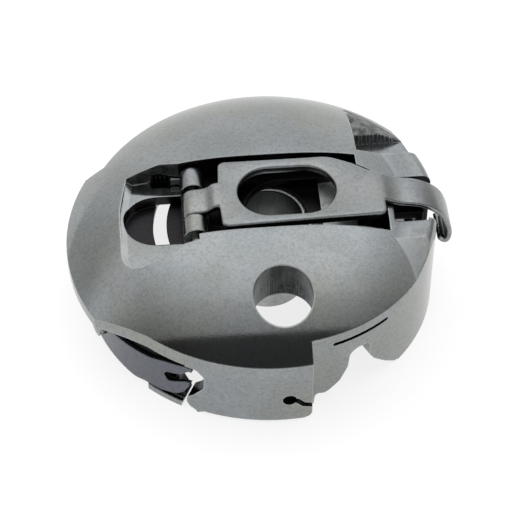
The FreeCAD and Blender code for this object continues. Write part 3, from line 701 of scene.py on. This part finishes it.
class BOBBINCASE_OT_lever(bpy.types.Operator):
    """Press the latch lever out of one sheet, with its window, finger and rolled eye"""

    bl_idname = "bobbincase.lever"
    bl_label = "Latch Lever"

    def execute(self, context):
        shape = context.scene.bobbin_case.latch
        finger, eye = smooth_line(FINGER_LINE), smooth_line(EYE_LINE)
        finger_start, eye_start = finger[0].x, eye[0].x
        finger_end, eye_end = finger_start + run(finger), eye_start - run(eye)

        mesh = bmesh.new()
        corners = [(x * MM, y * MM) for x, y in LEVER_NEAR_PLAN]
        corners += [(finger_end, -shape.finger_half), (finger_end, shape.finger_half)]
        corners += [(x * MM, y * MM) for x, y in LEVER_FAR_PLAN]
        corners += [(eye_end, shape.neck_half), (eye_end, -shape.neck_half)]
        rim = [mesh.verts.new((x, y, shape.top - shape.sheet)) for x, y in corners]
        for pair in zip(rim, rim[1:] + rim[:1]):
            mesh.edges.new(pair)
        plate = [vert for vert in rim if abs(vert.co.y) > PLATE_HALF * MM]
        bmesh.ops.bevel(
            mesh, geom=plate, offset=shape.corner, segments=6, profile=0.5, affect="VERTICES", material=-1
        )
        window = bmesh.ops.create_circle(
            mesh, segments=64, radius=shape.window_radius, matrix=Matrix.Rotation(math.pi / 64, 4, "Z")
        )["verts"]
        for vert in window:
            vert.co.x += shape.window_centre + math.copysign(shape.window_reach, vert.co.x)
            vert.co.z = shape.top - shape.sheet
        bmesh.ops.triangle_fill(mesh, use_beauty=True, edges=mesh.edges)
        sheet = bmesh.ops.extrude_face_region(mesh, geom=mesh.faces[:])["geom"]
        upper = [item for item in sheet if isinstance(item, bmesh.types.BMVert)]
        bmesh.ops.translate(mesh, verts=upper, vec=(0, 0, shape.sheet))
        bmesh.ops.recalc_face_normals(mesh, faces=mesh.faces)
        round_edges(mesh, shape.edge, segments=3)

        rows = [finger_start + FINGER_STEP * MM * row for row in range(ROWS)]
        rows += [eye_start - EYE_STEP * MM * row for row in range(ROWS)]
        for x in rows:
            if eye_end < x < finger_end:
                every = mesh.verts[:] + mesh.edges[:] + mesh.faces[:]
                bmesh.ops.bisect_plane(mesh, geom=every, plane_co=(x, 0, 0), plane_no=X)
        bend(mesh, finger, 1, FINGER_THIN)
        bend(mesh, eye, -1, EYE_THIN)
        piece("lever", mesh, "lever", "latch_metal", "latch steel", stands_for="latch_lever")
        return {"FINISHED"}


SLIDE_TOP = 9.05  # level of the top of the slide, in millimetres as the next places are
RUBBED_X = (4.1, 7.4)  # the part of that top that the lever has rubbed bare
RUBBED_Y = (-2.6, 2.6)
EYES_BEFORE = -4.9  # the hinge's eyes lie before this place along X
EYES_ABOVE = 8.4  # and above this level


class BOBBINCASE_OT_slide(bpy.types.Operator):
    """Dress the latch slide with its hinge eyes, and the hinge pin"""

    bl_idname = "bobbincase.slide"
    bl_label = "Latch Slide"

    def execute(self, context):
        mesh = merged_copy("latch_slide")
        cut_floor(mesh, SLIDE_TOP, RUBBED_X, RUBBED_Y)
        for face in mesh.faces:
            spot = face.calc_center_median() / MM
            along = RUBBED_X[0] < spot.x < RUBBED_X[1]
            across = RUBBED_Y[0] < spot.y < RUBBED_Y[1]
            if along and across and face.normal.z > 0.9:
                face.material_index = 2
            # the slide's lower and hidden faces get the dark steel: partly old oil, partly painted shade
            # under the lever
            elif spot.x >= EYES_BEFORE or spot.z <= EYES_ABOVE:
                face.material_index = 1
        steels = ("latch steel", "oiled and shaded steel", "bare steel")
        piece("slide", mesh, "slide", "latch_metal", *steels, stands_for="latch_slide")
        pin = merged_copy("hinge_pin")
        piece("pin", pin, "slide", "latch_metal", "latch steel", stands_for="hinge_pin")
        return {"FINISHED"}


class BOBBINCASE_OT_springs(bpy.types.Operator):
    """Finish the springs and the screws"""

    bl_idname = "bobbincase.springs"
    bl_label = "Springs and Screws"

    def execute(self, context):
        leaf, turns = merged_copy("tension_spring"), merged_copy("latch_spring")
        piece("tension_leaf", leaf, "case", "blued_steel", "blued steel", stands_for="tension_spring")
        # the coil and the brake spring get the dark steel: partly old oil, partly painted shade where they
        # sit in shadow
        coil = piece("latch_coil", turns, "case", "spring_steel", "oiled and shaded steel", stands_for="latch_spring")
        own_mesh(coil)
        for node in ("brake_spring", "tension_screw", "fixing_screw"):
            material = finishes()["oiled and shaded steel" if "spring" in node else "latch steel"]
            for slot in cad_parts[node].material_slots:
                slot.material = material
        return {"FINISHED"}


# --- studio --------------------------------------------------------------------------------------
FLOOR_HALF = 2.0  # half the side of the floor, in metres
LIGHT_REACH = 1.5  # how far forward and back the levels of the light are given
# How bright the light is, by how far back it stands for its height. A dark gap parts the two panels.
LIGHT_LEVELS = (
    (-1.5, 0.62), (-1.15, 0.5), (-0.88, 0.05), (-0.4, 0.07), (-0.385, 0.46), (-0.3, 0.52), (-0.1, 0.73),
    (0.0, 0.93), (0.3, 1.25), (0.65, 1.36), (1.1, 1.02), (1.5, 0.93),
)
LOWEST_LIGHT = 0.03  # light that comes from lower than this is taken as coming from here
RIGHT_FADE = (0.38, 0.85, 1.0, 0.42)  # where the light fades to the side, and from what to what
LEFT_FADE = (-0.8, -0.35, 0.62, 1.0)


def lay_floor(studio):
    """A pale floor, lifted to white where it is seen or mirrored, and clear from below."""
    mesh = bmesh.new()
    bmesh.ops.create_grid(mesh, x_segments=1, y_segments=1, size=FLOOR_HALF)
    data = bpy.data.meshes.new("floor")
    mesh.to_mesh(data)
    mesh.free()
    floor = bpy.data.objects.new("floor", data)
    bpy.context.scene.collection.objects.link(floor)
    material = bpy.data.materials.new("pale floor")
    material.use_nodes = True
    tree = material.node_tree
    shader = tree.nodes["Principled BSDF"]
    shader.inputs["Base Color"].default_value = (*studio.floor_colour, 1)
    shader.inputs["Roughness"].default_value = 0.9
    shader.inputs["Specular IOR Level"].default_value = 0.0
    paths = tree.nodes.new("ShaderNodeLightPath")
    mirrored = worked(tree, "MULTIPLY", paths.outputs["Is Glossy Ray"], studio.floor_gloss)
    seen = worked(tree, "MULTIPLY_ADD", paths.outputs["Is Camera Ray"], studio.floor_glow, mirrored)
    shader.inputs["Emission Color"].default_value = (1, 1, 1, 1)
    link(tree, seen, shader.inputs["Emission Strength"])
    behind = tree.nodes.new("ShaderNodeNewGeometry").outputs["Backfacing"]
    clear = tree.nodes.new("ShaderNodeBsdfTransparent")
    sided = tree.nodes.new("ShaderNodeMixShader")
    link(tree, behind, sided.inputs["Fac"])
    link(tree, shader.outputs["BSDF"], sided.inputs[1])
    link(tree, clear.outputs["BSDF"], sided.inputs[2])
    link(tree, sided.outputs["Shader"], tree.nodes["Material Output"].inputs["Surface"])
    data.materials.append(material)
    floor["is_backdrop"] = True


def light_studio(studio):
    """A wide soft light overhead and behind, and a low one in front, with a dark gap between them."""
    world = bpy.data.worlds.new("studio")
    bpy.context.scene.world = world
    world.use_nodes = True
    tree = world.node_tree
    background = tree.nodes["Background"]
    background.inputs["Strength"].default_value = studio.world_strength
    direction = tree.nodes.new("ShaderNodeTexCoord").outputs["Generated"]
    parts = tree.nodes.new("ShaderNodeSeparateXYZ")
    link(tree, direction, parts.inputs["Vector"])

    height = worked(tree, "MAXIMUM", parts.outputs["Z"], LOWEST_LIGHT)
    depth = worked(tree, "DIVIDE", parts.outputs["Y"], height)
    reach = tree.nodes.new("ShaderNodeMapRange")
    reach.inputs["From Min"].default_value = -LIGHT_REACH
    reach.inputs["From Max"].default_value = LIGHT_REACH
    link(tree, depth, reach.inputs["Value"])
    levels = tree.nodes.new("ShaderNodeValToRGB")
    link(tree, reach.outputs["Result"], levels.inputs["Fac"])
    stops = levels.color_ramp.elements
    while len(stops) < len(LIGHT_LEVELS):
        stops.new(1.0)
    for stop, (place, level) in zip(stops, LIGHT_LEVELS):
        stop.position = (place + LIGHT_REACH) / (2 * LIGHT_REACH)
        stop.color = (level, level, level, 1)
    right = ramp(tree, parts.outputs["X"], *RIGHT_FADE)
    left = ramp(tree, parts.outputs["X"], *LEFT_FADE)
    sides = worked(tree, "MULTIPLY", right, left)
    link(tree, worked(tree, "MULTIPLY", levels.outputs["Color"], sides), background.inputs["Color"])


def place_camera(studio):
    """Points the camera at its aim, from its distance and angles."""
    camera = bpy.data.cameras.new("camera")
    camera.lens = studio.lens
    camera.clip_start = 0.01
    camera.clip_end = 10
    holder = bpy.data.objects.new("camera", camera)
    bpy.context.scene.collection.objects.link(holder)
    flat = math.cos(studio.elevation)
    back = Vector(
        (math.sin(studio.azimuth) * flat, -math.cos(studio.azimuth) * flat, math.sin(studio.elevation))
    )
    holder.location = studio.aim + back * studio.distance
    holder.rotation_mode = "QUATERNION"
    holder.rotation_quaternion = (-back).to_track_quat("-Z", "Y")
    bpy.context.scene.camera = holder


class BOBBINCASE_OT_studio(bpy.types.Operator):
    """Set the floor, the light and the camera"""

    bl_idname = "bobbincase.studio"
    bl_label = "Studio"

    def execute(self, context):
        studio = context.scene.bobbin_case.studio
        lay_floor(studio)
        light_studio(studio)
        place_camera(studio)
        context.scene.view_settings.view_transform = "Standard"
        return {"FINISHED"}


class BOBBINCASE_PT_panel(bpy.types.Panel):
    """Lists the pieces and the studio"""

    bl_idname = "BOBBINCASE_PT_panel"
    bl_label = "Bobbin Case"
    bl_space_type = "VIEW_3D"
    bl_region_type = "UI"
    bl_category = "Bobbin Case"

    def draw(self, context):
        for operator in OPERATORS:
            self.layout.operator(operator.bl_idname)


OPERATORS = (
    BOBBINCASE_OT_shell,
    BOBBINCASE_OT_ribs,
    BOBBINCASE_OT_tube,
    BOBBINCASE_OT_lever,
    BOBBINCASE_OT_slide,
    BOBBINCASE_OT_springs,
    BOBBINCASE_OT_studio,
)
GROUPS = (CaseShape, TubeShape, LatchShape, Finish, Studio, BobbinCase)
CLASSES = (*GROUPS, *OPERATORS, BOBBINCASE_PT_panel)


def register():
    """Makes the sizes, the operators and the panel known to Blender."""
    for item in CLASSES:
        bpy.utils.register_class(item)
    bpy.types.Scene.bobbin_case = bpy.props.PointerProperty(type=BobbinCase)


def unregister():
    """Takes them away again."""
    del bpy.types.Scene.bobbin_case
    for item in reversed(CLASSES):
        bpy.utils.unregister_class(item)


def main():
    """Makes every piece and the studio."""
    register()
    bpy.ops.bobbincase.shell()
    bpy.ops.bobbincase.tube()
    bpy.ops.bobbincase.ribs()
    bpy.ops.bobbincase.lever()
    bpy.ops.bobbincase.slide()
    bpy.ops.bobbincase.springs()
    bpy.ops.bobbincase.studio()
    sizes = {"cad": CAD_BOX, "visual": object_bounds()}
    sizes = {name: [list(corner) for corner in box] for name, box in sizes.items()}


if __name__ == "__main__":
    main()
